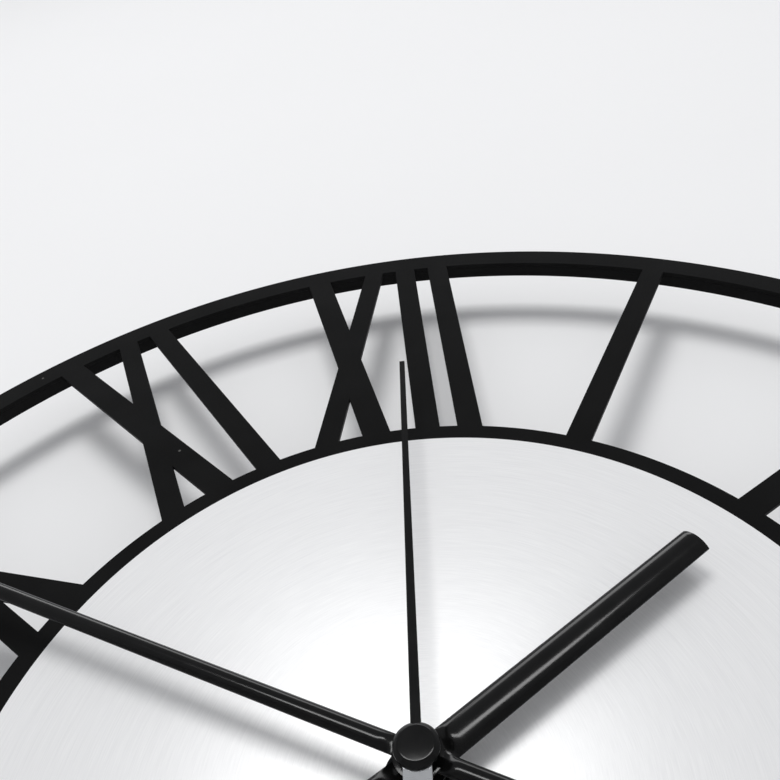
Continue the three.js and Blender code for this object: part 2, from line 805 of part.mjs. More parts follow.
function quartzCrystal() {
  const length = 6;
  const can = turned([[0, 0], [1, 0], [1, length], [0, length]], 16);
  return can.rotate([-90, 0, 0]).translate([boardRight - 2, boardBottom + 4, boardFront + 1.1]);
}

function chipCover() {
  const place = new THREE.Vector2((boardLeft + boardRight) / 2 - 1.5, 2);
  return turned([[0, boardFront], [2.8, boardFront], [2.4, boardFront + 0.6], [1.2, boardFront + 1], [0, boardFront + 1.1]],
    24, place);
}

// Spring strips at the two ends of the bay; each has an arm up into the gear bay beside the divider
function contact(side) {
  const inner = side * batteryLength / 2;
  const outer = inner + side * contactThickness;
  const [x0, x1] = [Math.min(inner, outer), Math.max(inner, outer)];
  const armBack = boardBack;
  return join(
    box(x0, x1, bayBottom + 2, bayTop - 2, 2, frontInside - 2),
    box(x0, x1, bayTop - 3, gearBayBottom + 0.9, armBack, armBack + 2.4),
  );
}

// ---- Battery ----

function batteryCan() {
  const r = batteryRadius;
  const left = -batteryLength / 2;
  const shoulder = batteryLength / 2 - nubLength;
  const profile = [
    [0, left], [r - 1, left], [r, left + 0.6], [r, shoulder - 0.6], [r - 1, shoulder],
    [nubRadius, shoulder], [nubRadius, batteryLength / 2], [0, batteryLength / 2],
  ];
  return turned(profile, 32).rotate([0, 90, 0]).translate([0, batteryAxis.y, batteryAxis.z]);
}

// ---- Assembly ----

const collet = (inner, outer, back, front) => ring(inner, outer, back, front, handAxis, 24);
const secondTubeBack = minuteHandBack + minuteHand.rise + 0.2;
const secondTop = secondHandBack + secondHandThickness;

const pieces = [
  ['numeral_ring', numeralRing(), blackPowderCoat()],
  ...Array.from({ length: rimStrips }, (_, index) => (
    [`rim_strip_${index + 1}`, rimStrip(index), blackPowderCoat()]
  )),
  ['dial_disc', holedDisc(hub, discRadius, discBack, discFront, 120), brushedAluminium()],
  ['bonding_film', holedDisc(hub, discRadius + filmOverhang, sheetFront, discBack, 72), adhesive()],
  ['rubber_washer', ring(hub, 11, hangerTop, sheetBack), blackRubber()],
  ['front_washer', ring(hub, washerRadius, discFront, nutBack), blackSteel()],
  ['hex_nut', hexNut(), blackSteel()],
  ['threaded_bush', threadedBush(), blackSteel()],
  ['hanger_plate', hangerPlate(), steel()],
  ['front_case', frontCase(), blackPlastic()],
  ['rear_cover', rearCover(), blackPlastic()],
  ['middle_plate', middlePlate(), whiteNylon()],
  ['setting_knob', settingKnob(), whiteNylon()],
  ['setting_wheel', setWheel(), whiteNylon()],
  ['hour_wheel', hourWheel(), whiteNylon()],
  ['minute_tube', minuteTube(), brass()],
  ['centre_wheel', centreWheel(), whiteNylon()],
  ['third_wheel', thirdWheel(), whiteNylon()],
  ['seconds_wheel', secondsWheel(), steel()],
  ['intermediate_wheel', intermediateWheel(), whiteNylon()],
  ['rotor_shaft', rotorShaft(), whiteNylon()],
  ['rotor_magnet', ring(arborRadius + clearance, magnetRadius, magnetBack, magnetFront, rotorArbor, 32), ferrite()],
  ['stator', stator(), steel()],
  ['coil_core', coilCore(), steel()],
  ['coil_bobbin', coilBobbin(), whiteNylon()],
  ['coil_winding', coilWinding(), copper()],
  ['circuit_board', circuitBoard(), greenBoard()],
  ['quartz_crystal', quartzCrystal(), steel()],
  ['chip_cover', chipCover(), blackPlastic()],
  ['negative_contact', contact(-1), steel()],
  ['positive_contact', contact(1), steel()],
  ['battery', batteryCan(), batteryJacket()],
  ['hour_hand', roundBackedHand(hourHand, hourHandBack, hourTubeRadius + clearance), glossBlack()],
  ['minute_hand', roundBackedHand(minuteHand, minuteHandBack, minuteTubeRadius + clearance), glossBlack()],
  ['minute_collet', collet(minuteTubeRadius + clearance, 3.4, minuteHandBack - 0.9, minuteHandBack), brass()],
  ['second_hand', secondHandBlade(), glossBlack()],
  ['second_hand_tube', collet(secondTubeBore, secondTubeOuter, secondTubeBack, secondTop), brass()],
  ['hub_cap', hubCap(), glossBlack()],
];

const clock = new THREE.Group();
clock.rotation.x = Math.PI / 2;
for (const [name, body, material] of pieces) {
  const mesh = new THREE.Mesh(geometryOf(body), material);
  mesh.name = name;
  clock.add(mesh);
}

const wallClock = new THREE.Group();
wallClock.add(clock);

export default wallClock;
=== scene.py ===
# %% [markdown]
# # A wall clock with cut-out Roman numerals
# The clock is a black metal ring whose numerals are cut out of the same sheet, with a brushed metal
# plate in the middle, three black hands and a battery movement behind. Every size and place comes
# from the measured frame that is loaded first, so this lesson only has to make each piece look like
# the real thing. All lengths below are written in millimetres and turned into metres when a piece
# is made.

# %% Load the measured frame
import json
import math

import bmesh
import bpy
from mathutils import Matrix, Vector

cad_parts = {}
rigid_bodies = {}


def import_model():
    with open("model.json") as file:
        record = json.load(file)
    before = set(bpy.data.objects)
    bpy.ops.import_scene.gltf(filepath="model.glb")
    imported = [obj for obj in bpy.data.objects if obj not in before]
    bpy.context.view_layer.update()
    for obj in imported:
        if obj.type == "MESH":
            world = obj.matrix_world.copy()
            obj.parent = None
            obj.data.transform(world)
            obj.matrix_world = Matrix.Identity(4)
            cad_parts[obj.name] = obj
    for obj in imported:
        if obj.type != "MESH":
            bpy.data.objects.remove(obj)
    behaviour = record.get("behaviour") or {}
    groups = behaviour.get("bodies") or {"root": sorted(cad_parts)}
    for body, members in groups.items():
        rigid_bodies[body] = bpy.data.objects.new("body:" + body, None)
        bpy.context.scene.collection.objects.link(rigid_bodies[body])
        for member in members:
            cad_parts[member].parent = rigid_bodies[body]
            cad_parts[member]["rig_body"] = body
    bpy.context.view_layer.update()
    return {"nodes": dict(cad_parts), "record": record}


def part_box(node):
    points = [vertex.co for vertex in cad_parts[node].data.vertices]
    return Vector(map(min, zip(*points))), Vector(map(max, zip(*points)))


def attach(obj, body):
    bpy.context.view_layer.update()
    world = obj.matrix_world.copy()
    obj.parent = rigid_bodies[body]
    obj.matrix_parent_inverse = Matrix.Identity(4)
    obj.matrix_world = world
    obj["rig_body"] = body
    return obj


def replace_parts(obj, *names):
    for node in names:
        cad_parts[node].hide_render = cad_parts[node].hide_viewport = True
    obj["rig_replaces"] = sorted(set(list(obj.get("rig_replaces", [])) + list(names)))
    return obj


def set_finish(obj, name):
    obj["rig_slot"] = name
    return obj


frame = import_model()
MM = 0.001


# %% [markdown]
# ## Reading places off the frame
# A node's box gives its lowest and highest corner. The dial faces the negative y direction, so the
# smaller y is the front of a piece and the larger y is its back. This helper gives both corners in
# millimetres, which are easier to think in than metres.

# %% Boxes in millimetres
def corners_of(node):
    low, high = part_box(node)
    return low / MM, high / MM


ring_low, ring_high = corners_of("numeral_ring")
clock_radius = ring_high.x
sheet_front, sheet_back = ring_low.y, ring_high.y
print("clock radius", round(clock_radius, 2), "sheet", round(sheet_front, 2), round(sheet_back, 2))


# %% [markdown]
# ## Making a mesh piece
# Every piece starts as a list of points and a list of faces. Points that fall on one another are
# joined, and the faces are turned to look outwards. Weighted normals let the large flat faces decide
# the shading, so that a narrow rounded edge glints and the flat beside it stays flat.

# %% Build, settle and smooth a mesh
def make_piece(name, points, faces):
    mesh = bpy.data.meshes.new(name)
    mesh.from_pydata([Vector(point) * MM for point in points], [], faces)
    work = bmesh.new()
    work.from_mesh(mesh)
    bmesh.ops.remove_doubles(work, verts=work.verts, dist=1e-7)
    bmesh.ops.dissolve_degenerate(work, edges=work.edges, dist=1e-8)
    bmesh.ops.recalc_face_normals(work, faces=work.faces)
    work.to_mesh(mesh)
    work.free()
    piece = bpy.data.objects.new(name, mesh)
    bpy.context.scene.collection.objects.link(piece)
    return piece


def settle(piece):
    """Turn the piece's modifiers into plain mesh."""
    bpy.context.view_layer.update()
    evaluated = piece.evaluated_get(bpy.context.evaluated_depsgraph_get())
    mesh = bpy.data.meshes.new_from_object(evaluated, preserve_all_data_layers=True,
                                           depsgraph=bpy.context.evaluated_depsgraph_get())
    piece.modifiers.clear()
    piece.data = mesh
    return piece


def smooth(piece, sharp_from=50):
    for face in piece.data.polygons:
        face.use_smooth = True
    piece.data.set_sharp_from_angle(angle=math.radians(sharp_from))
    weighted = piece.modifiers.new("flat faces stay flat", "WEIGHTED_NORMAL")
    weighted.keep_sharp = True
    return settle(piece)


# %% [markdown]
# ## Softened edges
# No made edge is perfectly sharp: sheet is tumbled, mouldings have a radius, and paint builds up a
# little at a corner. A bevel modifier that works on steep edges only gives each piece that thin
# highlight. The frame's own shapes can be copied and softened in the same way.

# %% Bevel steep edges
def bevel(piece, width, steps=2, steeper_than=35):
    rounding = piece.modifiers.new("softened edges", "BEVEL")
    rounding.width = width * MM
    rounding.segments = steps
    rounding.limit_method = "ANGLE"
    rounding.angle_limit = math.radians(steeper_than)
    rounding.use_clamp_overlap = True
    return smooth(settle(piece))


def softened_copy(name, node, width):
    """A copy of a frame node with its flat faces made whole and its edges softened."""
    piece = bpy.data.objects.new(name, frame["nodes"][node].data.copy())
    piece.data.materials.clear()
    bpy.context.scene.collection.objects.link(piece)
    work = bmesh.new()
    work.from_mesh(piece.data)
    bmesh.ops.remove_doubles(work, verts=work.verts, dist=2e-6)
    bmesh.ops.dissolve_limit(work, angle_limit=math.radians(1), verts=work.verts, edges=work.edges)
    work.to_mesh(piece.data)
    work.free()
    return bevel(piece, width, 2, 40)


# %% [markdown]
# ## Turned shapes
# Washers, tubes, caps and the rim are all round about the line through the hands. Each is an outline
# spun about that line, like a piece in a lathe. The outline's corners are rounded first, so the
# edges are soft from the start. A corner can carry its own radius as a third number.

# %% Round an outline and spin it
def rounded(corners, radius, steps=3):
    outline = []
    for index, corner in enumerate(corners):
        here = Vector(corner[:2])
        size = corner[2] if len(corner) > 2 else radius
        if size <= 0:
            outline.append(here)
            continue
        behind = Vector(corners[index - 1][:2]) - here
        ahead = Vector(corners[(index + 1) % len(corners)][:2]) - here
        reach = size / math.tan(behind.angle(ahead) / 2)
        reach = min(reach, 0.45 * behind.length, 0.45 * ahead.length)
        first = here + behind.normalized() * reach
        last = here + ahead.normalized() * reach
        for step in range(steps + 1):
            t = step / steps
            outline.append(first * (1 - t) ** 2 + here * 2 * t * (1 - t) + last * t * t)
    return outline


def spin(name, outline, turns=96, centre=(0, 0)):
    """Spin a closed outline of (distance from the axis, y) about the y line through centre."""
    points, faces = [], []
    count = len(outline)
    for turn in range(turns):
        angle = 2 * math.pi * turn / turns
        for distance, y in outline:
            points.append((centre[0] + distance * math.sin(angle), y, centre[1] + distance * math.cos(angle)))
        after = (turn + 1) % turns
        for index in range(count):
            nextly = (index + 1) % count
            faces.append((turn * count + index, turn * count + nextly,
                          after * count + nextly, after * count + index))
    return make_piece(name, points, faces)


def turned(name, corners, radius, turns=96, centre=(0, 0)):
    return smooth(spin(name, rounded(corners, radius), turns, centre))


def washer(name, inner, outer, front, back, edge, turns=96, centre=(0, 0)):
    return turned(name, [(inner, front), (outer, front), (outer, back), (inner, back)], edge, turns, centre)


# %% [markdown]
# ## Joining and cutting
# Some pieces are easiest to think of as one shape joined to another, or one with a hole drilled in
# it. Boolean modifiers do both. The helper shape is thrown away once it has done its work.

# %% Boolean helpers
def combine(piece, tool, how):
    work = piece.modifiers.new(how.lower(), "BOOLEAN")
    work.operation = how
    work.object = tool
    work.solver = "EXACT"
    settle(piece)
    bpy.data.objects.remove(tool)
    return piece


def plug(radius, front, back, centre=(0, 0), turns=64):
    """A plain round bar, used to drill holes."""
    profile = [(0, front), (radius, front), (radius, back), (0, back)]
    return spin("drill", [Vector(point) for point in profile], turns, centre)


# %% [markdown]
# ## Finishes as node materials
# A finish is one Principled surface fed by textures in the piece's own coordinates, so a pattern
# stays put when a hand turns. Numbers that are the same all over are typed on the surface itself.
# These short helpers each add one texture step.

# %% Texture helpers
def start_finish(name, metal, roughness):
    material = bpy.data.materials.new(name)
    material.use_nodes = True
    tree = material.node_tree
    tree.nodes.clear()
    output = tree.nodes.new("ShaderNodeOutputMaterial")
    surface = tree.nodes.new("ShaderNodeBsdfPrincipled")
    surface.inputs["Metallic"].default_value = metal
    surface.inputs["Roughness"].default_value = roughness
    tree.links.new(surface.outputs["BSDF"], output.inputs["Surface"])
    where = tree.nodes.new("ShaderNodeTexCoord").outputs["Object"]
    return material, tree, surface, where


def stretched(tree, where, scale):
    mapping = tree.nodes.new("ShaderNodeMapping")
    mapping.inputs["Scale"].default_value = scale
    tree.links.new(where, mapping.inputs["Vector"])
    return mapping.outputs["Vector"]


def noise(tree, where, scale, detail=3.0, roughness=0.55):
    texture = tree.nodes.new("ShaderNodeTexNoise")
    texture.inputs["Scale"].default_value = scale
    texture.inputs["Detail"].default_value = detail
    texture.inputs["Roughness"].default_value = roughness
    tree.links.new(where, texture.inputs["Vector"])
    return texture.outputs["Fac"]


def ramp(tree, value, stops):
    """Turn a 0 to 1 value into a colour; each stop is (place, grey) or (place, (r, g, b))."""
    node = tree.nodes.new("ShaderNodeValToRGB")
    while len(node.color_ramp.elements) < len(stops):
        node.color_ramp.elements.new(0.5)
    for element, (place, colour) in zip(node.color_ramp.elements, stops):
        element.position = place
        if isinstance(colour, (int, float)):
            colour = (colour, colour, colour)
        element.color = (*colour, 1)
    tree.links.new(value, node.inputs["Fac"])
    return node.outputs["Color"]


def relief(tree, surface, height, depth, strength=1.0):
    """Raise and lower the surface by a texture; depth is in millimetres."""
    bump = tree.nodes.new("ShaderNodeBump")
    bump.inputs["Strength"].default_value = strength
    bump.inputs["Distance"].default_value = depth * MM
    tree.links.new(height, bump.inputs["Height"])
    tree.links.new(bump.outputs["Normal"], surface.inputs["Normal"])


def arithmetic(tree, kind, first, second):
    node = tree.nodes.new("ShaderNodeMath")
    node.operation = kind
    for socket, value in zip(node.inputs, (first, second)):
        if isinstance(value, (int, float)):
            socket.default_value = value
        else:
            tree.links.new(value, socket)
    return node.outputs["Value"]


# %% [markdown]
# ## Powder coat
# The ring is steel sprayed with dry powder and baked: nearly black, a fine grain, and a sheen that
# changes slightly from place to place. A hung clock also gathers a few specks of dust. The grain is
# a small noise used as relief; the dust is a cell texture in which only a few cells get a dot.

# %% The ring's black powder coat
def dust(tree, where, cell, share):
    """1 on a few tiny dots and 0 elsewhere: one possible dot per cell, and only some cells have it."""
    cells = tree.nodes.new("ShaderNodeTexVoronoi")
    cells.inputs["Scale"].default_value = 1000 / cell
    tree.links.new(where, cells.inputs["Vector"])
    dot = arithmetic(tree, "LESS_THAN", cells.outputs["Distance"], 0.05)
    split = tree.nodes.new("ShaderNodeSeparateColor")
    tree.links.new(cells.outputs["Color"], split.inputs["Color"])
    chosen = arithmetic(tree, "LESS_THAN", split.outputs["Red"], share)
    return arithmetic(tree, "MULTIPLY", dot, chosen)


def blend_colours(tree, amount, first, second):
    mix = tree.nodes.new("ShaderNodeMix")
    mix.data_type = "RGBA"
    tree.links.new(amount, mix.inputs["Factor"])
    tree.links.new(first, mix.inputs[6])
    mix.inputs[7].default_value = (*second, 1)
    return mix.outputs[2]


def powder_coat():
    material, tree, surface, where = start_finish("black powder coat", 0.0, 0.5)
    grain = noise(tree, where, 2200, 3)
    patches = noise(tree, where, 60, 2)
    black = ramp(tree, patches, [(0.3, 0.0040), (0.7, 0.0062)])
    specks = dust(tree, where, 7.0, 0.10)
    tree.links.new(blend_colours(tree, specks, black, (0.10, 0.10, 0.095)), surface.inputs["Base Color"])
    tree.links.new(ramp(tree, grain, [(0.3, 0.46), (0.7, 0.60)]), surface.inputs["Roughness"])
    relief(tree, surface, grain, 0.012)
    surface.inputs["Specular IOR Level"].default_value = 0.07
    return material


# %% [markdown]
# ## Brushed metal
# The middle plate is brushed while it spins, so its scratches run in circles. The texture is made in
# circular coordinates: distance from the middle changes fast, and the direction changes slowly. The
# direction is used as a pair of numbers, which has no seam. An anisotropic shine with a radial
# tangent then spreads the light into soft fans, as brushed metal does.

# %% Circular brushing
def circular_grain(tree, where, fineness, runs, detail=2.0):
    parts = tree.nodes.new("ShaderNodeSeparateXYZ")
    tree.links.new(where, parts.inputs["Vector"])
    x, z = parts.outputs["X"], parts.outputs["Z"]
    square = arithmetic(tree, "ADD", arithmetic(tree, "MULTIPLY", x, x), arithmetic(tree, "MULTIPLY", z, z))
    distance = arithmetic(tree, "SQRT", arithmetic(tree, "ADD", square, 1e-9), 0)
    place = tree.nodes.new("ShaderNodeCombineXYZ")
    tree.links.new(arithmetic(tree, "MULTIPLY", distance, fineness), place.inputs["X"])
    for part, socket in ((x, "Y"), (z, "Z")):
        share = arithmetic(tree, "DIVIDE", part, distance)
        tree.links.new(arithmetic(tree, "MULTIPLY", share, runs), place.inputs[socket])
    return noise(tree, place.outputs["Vector"], 1.0, detail)


def brushed_plate():
    material, tree, surface, where = start_finish("brushed aluminium", 0.38, 0.34)
    scratches = circular_grain(tree, where, 5200, 7, 3)
    bands = circular_grain(tree, where, 700, 3, 3)
    light = ramp(tree, scratches, [(0.25, (0.84, 0.84, 0.84)), (0.75, (0.93, 0.93, 0.925))])
    tree.links.new(light, surface.inputs["Base Color"])
    tree.links.new(ramp(tree, bands, [(0.3, 0.33), (0.7, 0.37)]), surface.inputs["Roughness"])
    surface.inputs["Anisotropic"].default_value = 0.7
    around = tree.nodes.new("ShaderNodeTangent")
    around.direction_type = "RADIAL"
    around.axis = "Y"
    tree.links.new(around.outputs["Tangent"], surface.inputs["Tangent"])
    relief(tree, surface, scratches, 0.0015)
    return material


# %% [markdown]
# ## The smaller finishes
# The other materials are simple relatives of the first two: a base tone that wanders a little, a
# roughness that wanders with it, and a relief of the right size. Turned brass uses the circular
# grain, stamped steel a straight one, and moulded plastic a fine even texture.

# %% Lacquer, brass, steel and moulded parts
def gloss_lacquer():
    material, tree, surface, where = start_finish("gloss black lacquer", 0.0, 0.15)
    flow = noise(tree, where, 220, 2)
    black = ramp(tree, flow, [(0.3, 0.0025), (0.7, 0.0045)])
    specks = dust(tree, where, 5.0, 0.05)
    tree.links.new(blend_colours(tree, specks, black, (0.08, 0.08, 0.08)), surface.inputs["Base Color"])
    tree.links.new(ramp(tree, flow, [(0.3, 0.13), (0.7, 0.17)]), surface.inputs["Roughness"])
    relief(tree, surface, noise(tree, where, 900, 2), 0.0015)
    surface.inputs["Specular IOR Level"].default_value = 0.16
    return material


def turned_metal(name, dark, light, roughness):
    material, tree, surface, where = start_finish(name, 1.0, roughness)
    grooves = circular_grain(tree, where, 9000, 1.5, 2)
    tree.links.new(ramp(tree, grooves, [(0.25, dark), (0.75, light)]), surface.inputs["Base Color"])
    patches = noise(tree, where, 350, 2)
    tree.links.new(ramp(tree, patches, [(0.3, roughness - 0.05), (0.7, roughness + 0.07)]),
                   surface.inputs["Roughness"])
    relief(tree, surface, grooves, 0.006)
    return material


def stamped_metal(name, dark, light, roughness):
    material, tree, surface, where = start_finish(name, 1.0, roughness)
    lines = noise(tree, stretched(tree, where, (60, 3000, 3000)), 1.0, 3)
    patches = noise(tree, where, 160, 3)
    tree.links.new(ramp(tree, patches, [(0.3, dark), (0.7, light)]), surface.inputs["Base Color"])
    tree.links.new(ramp(tree, lines, [(0.3, roughness - 0.06), (0.7, roughness + 0.08)]),
                   surface.inputs["Roughness"])
    relief(tree, surface, lines, 0.006)
    return material


def moulded(name, dark, light, roughness, grain_size, depth):
    """Plastic or rubber; grain_size and depth are the texture's spacing and depth in millimetres."""
    material, tree, surface, where = start_finish(name, 0.0, roughness)
    grain = noise(tree, where, 1000 / grain_size, 3)
    patches = noise(tree, where, 90, 2)
    tree.links.new(ramp(tree, patches, [(0.3, dark), (0.7, light)]), surface.inputs["Base Color"])
    tree.links.new(ramp(tree, grain, [(0.3, roughness - 0.07), (0.7, roughness + 0.07)]),
                   surface.inputs["Roughness"])
    relief(tree, surface, grain, depth)
    return material


def wound_wire():
    material, tree, surface, where = start_finish("enamelled copper wire", 0.9, 0.3)
    turns = tree.nodes.new("ShaderNodeTexWave")
    turns.bands_direction = "X"
    turns.inputs["Scale"].default_value = 1800
    turns.inputs["Distortion"].default_value = 0.6
    tree.links.new(where, turns.inputs["Vector"])
    # The colour is the copper's own tone on the crest of each turn and a painted shade in the groove between
    # turns, where neighbouring turns shade each other; the bump uses the same bands.
    tree.links.new(ramp(tree, turns.outputs["Fac"], [(0.1, (0.20, 0.06, 0.02)), (0.7, (0.62, 0.26, 0.10))]),
                   surface.inputs["Base Color"])
    relief(tree, surface, turns.outputs["Fac"], 0.05)
    return material


# %% Name the finishes by the frame's material slots
finishes = {
    "black_powder_coat": powder_coat(),
    "brushed_aluminium": brushed_plate(),
    "gloss_black": gloss_lacquer(),
    "brass": turned_metal("turned brass", (0.55, 0.36, 0.12), (0.74, 0.52, 0.20), 0.28),
    "black_steel": turned_metal("blackened steel", (0.012, 0.012, 0.013), (0.022, 0.022, 0.024), 0.36),
    "steel": stamped_metal("stamped steel", (0.46, 0.47, 0.48), (0.62, 0.63, 0.64), 0.30),
    "black_plastic": moulded("black moulded plastic", 0.010, 0.016, 0.48, 0.35, 0.012),
    "white_nylon": moulded("white nylon", (0.74, 0.73, 0.68), (0.83, 0.82, 0.78), 0.42, 0.6, 0.004),
    "black_rubber": moulded("black rubber", 0.010, 0.018, 0.75, 0.3, 0.02),
    "copper_wire": wound_wire(),
    "green_board": moulded("green circuit board", (0.02, 0.12, 0.05), (0.03, 0.17, 0.08), 0.4, 0.5, 0.01),
    "bonding_tape": moulded("brown bonding tape", (0.36, 0.19, 0.07), (0.50, 0.28, 0.12), 0.6, 0.4, 0.02),
    "ferrite": moulded("grey ferrite", (0.045, 0.045, 0.05), (0.07, 0.07, 0.075), 0.55, 0.25, 0.02),
    "battery_jacket": stamped_metal("blue foil sleeve", (0.02, 0.09, 0.22), (0.03, 0.13, 0.29), 0.34),
}
print(len(finishes), "finishes made")


# %% [markdown]
# ## Putting a piece in its place
# A piece needs its finish, the moving body it rides on, and the frame node it stands for. One
# helper does all three and prints what was made.

# %% Place a piece
made = []


def place(piece, slot, *nodes, body=None):
    piece.data.materials.clear()
    piece.data.materials.append(finishes[slot])
    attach(piece, body or frame["nodes"][nodes[0]]["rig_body"])
    if nodes:
        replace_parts(piece, *nodes)
    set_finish(piece, slot)
    made.append(piece)
    print(piece.name, len(piece.data.polygons), "faces, stands for", nodes)
    return piece


# %% [markdown]
# ## The numeral sheet
# On the real clock one sheet of steel is laser cut: the outer band, the twelve numerals and the web
# behind the middle plate are all one piece. The frame's sheet already has the right outline, but its
# arcs are made of straight steps. Here the outline is read from the sheet's front face, its arcs are
# filled in with extra points, and a flat curve gives it thickness and a small rounded edge.

# %% Read the sheet's outlines
band_inner = 167.5
web_edge = 89.4
bush_hole = 4.3


def front_outlines(node):
    """The closed outlines of a flat sheet's front face, as lists of (x, z)."""
    mesh = frame["nodes"][node].data
    front = corners_of(node)[0].y
    mesh.calc_loop_triangles()
    key = {}
    for vertex in mesh.vertices:
        if abs(vertex.co.y / MM - front) < 0.01:
            key[vertex.index] = (round(vertex.co.x / MM, 2), round(vertex.co.z / MM, 2))
    sides = set()
    for triangle in mesh.loop_triangles:
        a, b, c = triangle.vertices
        if a in key and b in key and c in key:
            sides.update([(key[a], key[b]), (key[b], key[c]), (key[c], key[a])])
    onward = {a: b for a, b in sides if (b, a) not in sides and a != b}
    outlines = []
    while onward:
        start, here = next(iter(onward.items()))
        outline = [start]
        onward.pop(start)
        while here != start:
            outline.append(here)
            here = onward.pop(here)
        outlines.append(outline)
    return outlines


def fill_arcs(outline, radii, finest=0.7):
    """Move points that belong to an arc on to it, and add points so the arc turns in small steps."""
    snapped = []
    for x, z in outline:
        distance = math.hypot(x, z)
        arc = next((radius for radius in radii if abs(radius - distance) < 0.08), None)
        scale = arc / distance if arc else 1.0
        snapped.append((x * scale, z * scale, arc))
    filled = []
    for index, (x, z, arc) in enumerate(snapped):
        filled.append((x, z))
        next_x, next_z, next_arc = snapped[(index + 1) % len(snapped)]
        if arc is None or arc != next_arc:
            continue
        begin = math.atan2(x, z)
        swing = (math.atan2(next_x, next_z) - begin + math.pi) % (2 * math.pi) - math.pi
        steps = math.ceil(abs(math.degrees(swing)) / finest)
        if steps > 8 and arc > 20:
            continue
        for step in range(1, steps):
            angle = begin + swing * step / steps
            filled.append((arc * math.sin(angle), arc * math.cos(angle)))
    return filled


arc_radii = (clock_radius, band_inner, web_edge)
outlines = [fill_arcs(outline, arc_radii) for outline in front_outlines("numeral_ring")]
print(len(outlines), "outlines, the longest with", max(len(outline) for outline in outlines), "points")


# %% Cut the sheet with a rounded edge
def cut_sheet(name, outlines, front, back, edge):
    curve = bpy.data.curves.new(name, "CURVE")
    curve.dimensions = "2D"
    curve.fill_mode = "BOTH"
    curve.extrude = ((back - front) / 2 - edge) * MM
    curve.bevel_depth = edge * MM
    curve.bevel_resolution = 2
    curve.offset = -edge * MM
    for outline in outlines:
        spline = curve.splines.new("POLY")
        spline.points.add(len(outline) - 1)
        for point, (x, z) in zip(spline.points, outline):
            point.co = (x * MM, z * MM, 0, 1)
        spline.use_cyclic_u = True
    shape = bpy.data.objects.new(name, curve)
    bpy.context.scene.collection.objects.link(shape)
    bpy.context.view_layer.update()
    mesh = bpy.data.meshes.new_from_object(shape.evaluated_get(bpy.context.evaluated_depsgraph_get()))
    points = [(v.co.x / MM, (front + back) / 2 - v.co.z / MM, v.co.y / MM) for v in mesh.vertices]
    faces = [tuple(face.vertices) for face in mesh.polygons]
    bpy.data.objects.remove(shape)
    return smooth(make_piece(name, points, faces))


numeral_sheet = place(cut_sheet("numeral_sheet", outlines, sheet_front, sheet_back, 0.16),
                      "black_powder_coat", "numeral_ring")


# %% [markdown]
# ## The rim
# A hoop of the same steel is welded behind the band, so that the clock has a rim with some depth.
# One turned ring stands in for it here, in the place of the frame's short rim strips, which meet end
# to end. Its back edge is rounded, and its front edge stays sharp where it meets the sheet.

# %% Spin the rim
strips = [node for node in frame["nodes"] if node.startswith("rim_strip")]
rim_low, rim_high = corners_of(strips[0])
rim = turned("rim_hoop", [(band_inner, rim_low.y, 0.05), (clock_radius, rim_low.y, 0.05),
                          (clock_radius, rim_high.y, 0.25), (band_inner, rim_high.y, 0.25)], 0.25, 360)
place(rim, "black_powder_coat", *strips)


# %% [markdown]
# ## The brushed plate and its tape
# The middle plate is half a millimetre of aluminium, stuck on the web with thin brown tape that
# shows as a fine warm line at the plate's edge. The tape here is a hair wider than the plate.

# %% Plate and tape
plate_low, plate_high = corners_of("dial_disc")
tape_low, tape_high = corners_of("bonding_film")
plate = washer("brushed_plate", bush_hole, plate_high.x, plate_low.y, plate_high.y, 0.08, 256)
place(plate, "brushed_aluminium", "dial_disc")
tape = washer("tape_under_the_plate", bush_hole, tape_high.x, tape_low.y, tape_high.y, 0.03, 256)
place(tape, "bonding_tape", "bonding_film")


# %% [markdown]
# ## The bush, its nut and washers
# The movement is held by a threaded bush that passes through the web, a washer and a thin hex
# nut. The thread is a real spiral: the radius of the bush goes in and out as a saw shape that climbs
# by one pitch per turn. The nut is a six-sided bar cut by two cones, which chamfers its corners.

# %% Spiral thread
def threaded_tube(name, bore, radius, front, back, pitch, depth, turns=64):
    rows = math.ceil((back - front) / pitch * 6)
    points, faces = [], []
    for row in range(rows + 1):
        y = front + (back - front) * row / rows
        fade = min(1, (back - y) / pitch, (y - front) / pitch)
        for turn in range(turns):
            climb = ((y - front) / pitch + turn / turns) % 1
            groove = depth * abs(2 * climb - 1) * fade + 0.25 * depth * (1 - fade)
            angle = 2 * math.pi * turn / turns
            points.append(((radius - groove) * math.sin(angle), y, (radius - groove) * math.cos(angle)))
    for y in (back, front):
        for turn in range(turns):
            angle = 2 * math.pi * turn / turns
            points.append((bore * math.sin(angle), y, bore * math.cos(angle)))
    count = rows + 3
    for row in range(count):
        below = (row + 1) % count
        for turn in range(turns):
            after = (turn + 1) % turns
            faces.append((row * turns + turn, row * turns + after,
                          below * turns + after, below * turns + turn))
    return smooth(make_piece(name, points, faces), 60)


bush_low, bush_high = corners_of("threaded_bush")
bush = threaded_tube("bush_thread", 2.6, 4.0, bush_low.y, bush_high.y - 0.8, 0.75, 0.32)
flange = washer("bush_flange", 2.6, bush_high.x, bush_high.y - 0.8, bush_high.y, 0.1, 64)
place(bush, "black_steel", "threaded_bush")
place(flange, "black_steel", body="case")


